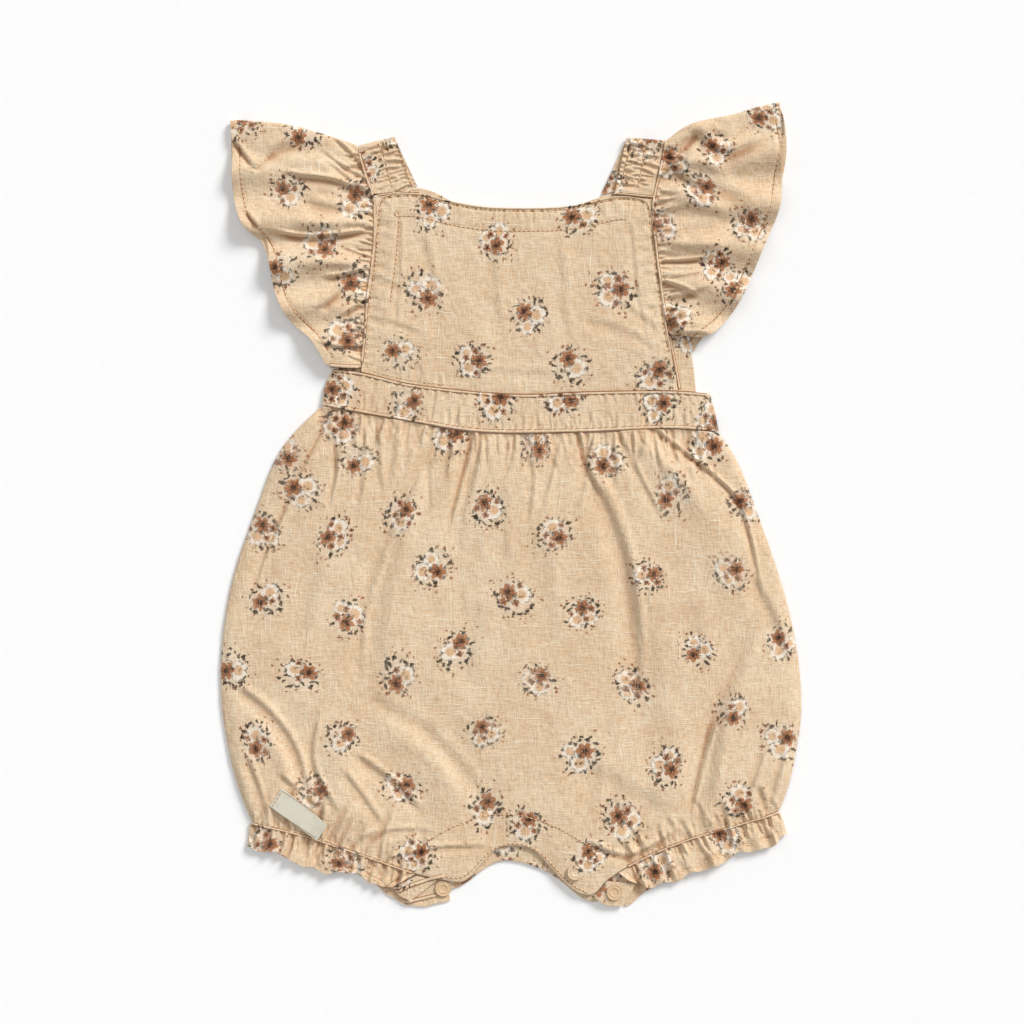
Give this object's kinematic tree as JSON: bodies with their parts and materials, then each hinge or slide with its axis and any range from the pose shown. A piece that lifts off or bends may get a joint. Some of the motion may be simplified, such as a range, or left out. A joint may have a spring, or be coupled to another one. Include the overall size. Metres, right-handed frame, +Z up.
{
  "type": "baby romper",
  "caption": "Baby romper laid flat: a bib with straps and gathered shoulder sleeves, a waistband, and a bloomer with ruffled elastic legs and a snap crotch.",
  "frame": {"origin": "middle of the outline on the table, under the back layer", "axes": "+Y from the legs to the shoulders, +Z up off the table, out of the front of the garment, +X to the right of a viewer who looks at the front"},
  "size_m": [0.3258, 0.452, 0.0102],
  "materials": {
    "print_cloth": "matte slub linen, peach beige with a small floral print",
    "snap": "satin enamel, dyed to match the cloth",
    "label_tape": "matte woven tape, bare"
  },
  "bodies": {
    "root": {"bib_front": "print_cloth", "bodice_back": "print_cloth", "strap_left": "print_cloth", "strap_right": "print_cloth", "sleeve_left": "print_cloth", "sleeve_right": "print_cloth", "waistband_front": "print_cloth", "waistband_back": "print_cloth", "body_front": "print_cloth", "body_back": "print_cloth", "leg_ruffle_left": "print_cloth", "leg_ruffle_right": "print_cloth", "placket_tab_left": "print_cloth", "placket_tab_right": "print_cloth", "snap_right": "snap", "snap_middle": "snap", "snap_back": "snap", "label": "label_tape"}
  },
  "joints": []
}
